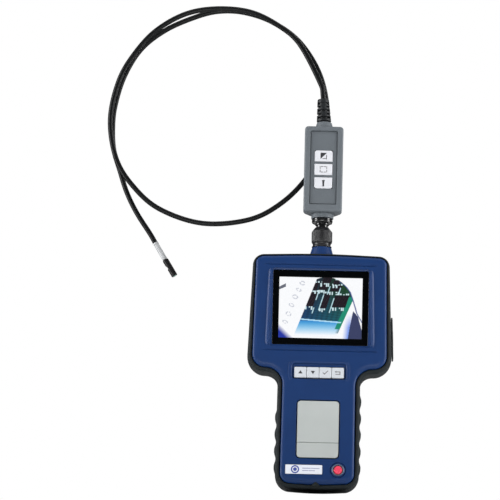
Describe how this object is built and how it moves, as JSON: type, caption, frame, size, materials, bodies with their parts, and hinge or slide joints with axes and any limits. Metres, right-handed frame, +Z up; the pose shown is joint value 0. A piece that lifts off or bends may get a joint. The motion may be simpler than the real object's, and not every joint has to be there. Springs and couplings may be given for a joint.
{
  "type": "inspection camera",
  "caption": "Hand-held inspection camera: wide-headed handset with a screen and keys, and a plug-in probe with an in-line control module and a coiled semi-rigid camera cable.",
  "frame": {"origin": "on the handset's flat back, at the middle of its height and width", "axes": "+X to the handset's right seen from its screen, +Y out of its back, +Z up the handset towards the probe socket"},
  "size_m": [0.2458, 0.0409, 0.4243],
  "materials": {
    "blue_abs": "satin dark blue ABS with a fine spark-eroded texture",
    "black_rubber": "matt black rubber with a faint olive cast",
    "smoked_window": "glossy smoked acrylic over the lit screen",
    "white_keys": "white silicone-coated key caps with dark symbols",
    "pale_grey": "pale grey satin plastic",
    "label_film": null,
    "red_button": "bright red moulded plastic",
    "circuit_board": "green solder mask",
    "silicone_mat": "translucent grey silicone",
    "bright_steel": "bright stainless steel",
    "black_anodised": "black anodised metal, satin",
    "module_grey": "mid grey textured ABS",
    "dark_plastic": "black moulded plastic",
    "lens_glass": "coated lens with a green reflection",
    "cell_wrap": "shrink-wrapped cells",
    "black_cable": "smooth black jacket with a soft sheen"
  },
  "bodies": {
    "handset": {"front_shell": "blue_abs", "rear_shell": "blue_abs", "rubber_boot": "black_rubber", "display_window": "smoked_window", "display_panel": "dark_plastic", "display_frame": "bright_steel", "main_board": "circuit_board", "keypad_mat": "silicone_mat", "power_switch": "dark_plastic", "handle_inlay_upper": "pale_grey", "handle_inlay_lower": "pale_grey", "name_plate": "label_film", "card_socket": "bright_steel", "memory_card": "dark_plastic", "usb_socket": "bright_steel", "battery_pack": "cell_wrap", "battery_door": "blue_abs", "battery_door_screw": "bright_steel", "housing_screw_1": "bright_steel", "housing_screw_2": "bright_steel", "housing_screw_3": "bright_steel", "housing_screw_4": "bright_steel", "housing_screw_5": "bright_steel", "housing_screw_6": "bright_steel", "socket_collar": "blue_abs", "socket_barrel": "bright_steel", "socket_insert": "dark_plastic"},
    "key_up": {"key_up": "white_keys"},
    "key_down": {"key_down": "white_keys"},
    "key_ok": {"key_ok": "white_keys"},
    "key_back": {"key_back": "white_keys"},
    "power_button": {"power_button": "red_button"},
    "port_cover": {"port_cover": "black_rubber"},
    "probe_unit": {"plug_barrel": "black_anodised", "plug_flange": "dark_plastic", "module_front_shell": "module_grey", "module_rear_shell": "module_grey", "module_board": "circuit_board", "module_keypad": "silicone_mat", "module_screw_1": "bright_steel", "module_screw_2": "bright_steel", "strain_relief": "black_rubber", "cable_lead": "black_cable"},
    "coupling_nut": {"coupling_nut": "black_rubber"},
    "module_key_invert": {"module_key_invert": "white_keys"},
    "module_key_rotate": {"module_key_rotate": "white_keys"},
    "module_key_lamp": {"module_key_lamp": "white_keys"},
    "cable_coil": {"cable_coil": "black_cable"},
    "cable_tail": {"cable_tail": "black_cable"},
    "camera_head": {"cable_end": "black_cable", "tip_ferrule": "bright_steel", "camera_housing": "black_anodised", "camera_chip": "circuit_board", "camera_lens": "lens_glass", "lamp_ring": "pale_grey"}
  },
  "joints": [
    {"name": "key_up_press", "type": "slide", "parent": "handset", "child": "key_up", "axis": [0, 1, 0], "range_m": [0, 0.0008]},
    {"name": "key_down_press", "type": "slide", "parent": "handset", "child": "key_down", "axis": [0, 1, 0], "range_m": [0, 0.0008]},
    {"name": "key_ok_press", "type": "slide", "parent": "handset", "child": "key_ok", "axis": [0, 1, 0], "range_m": [0, 0.0008]},
    {"name": "key_back_press", "type": "slide", "parent": "handset", "child": "key_back", "axis": [0, 1, 0], "range_m": [0, 0.0008]},
    {"name": "power_button_press", "type": "slide", "parent": "handset", "child": "power_button", "axis": [0, 1, 0], "range_m": [0, 0.001]},
    {"name": "port_cover_swing", "type": "hinge", "parent": "handset", "child": "port_cover", "pos_m": [0.06173, -0.0172, 0.0306], "axis": [0, 0, 1], "range_deg": [0, 100]},
    {"name": "probe_pull_off", "type": "slide", "parent": "handset", "child": "probe_unit", "axis": [0, 0, 1], "range_m": [0, 0.02]},
    {"name": "coupling_nut_spin", "type": "hinge", "parent": "probe_unit", "child": "coupling_nut", "pos_m": [0, -0.022, 0.1179], "axis": [0, 0, 1], "continuous": true},
    {"name": "module_key_invert_press", "type": "slide", "parent": "probe_unit", "child": "module_key_invert", "axis": [0, 1, 0], "range_m": [0, 0.0006]},
    {"name": "module_key_rotate_press", "type": "slide", "parent": "probe_unit", "child": "module_key_rotate", "axis": [0, 1, 0], "range_m": [0, 0.0006]},
    {"name": "module_key_lamp_press", "type": "slide", "parent": "probe_unit", "child": "module_key_lamp", "axis": [0, 1, 0], "range_m": [0, 0.0006]},
    {"name": "cable_root_flex", "type": "hinge", "parent": "probe_unit", "child": "cable_coil", "pos_m": [-0.00156, -0.022, 0.2416], "axis": [0, 1, 0], "range_deg": [-5, 10], "stiffness_Nm_per_rad": 1},
    {"name": "cable_tail_flex", "type": "hinge", "parent": "cable_coil", "child": "cable_tail", "pos_m": [-0.1722, -0.003, 0.1774], "axis": [0, 1, 0], "range_deg": [-10, 30], "stiffness_Nm_per_rad": 0.3},
    {"name": "cable_tip_flex", "type": "hinge", "parent": "cable_tail", "child": "camera_head", "pos_m": [-0.1453, -0.003, 0.1229], "axis": [0, 1, 0], "range_deg": [-45, 45], "stiffness_Nm_per_rad": 0.1}
  ]
}
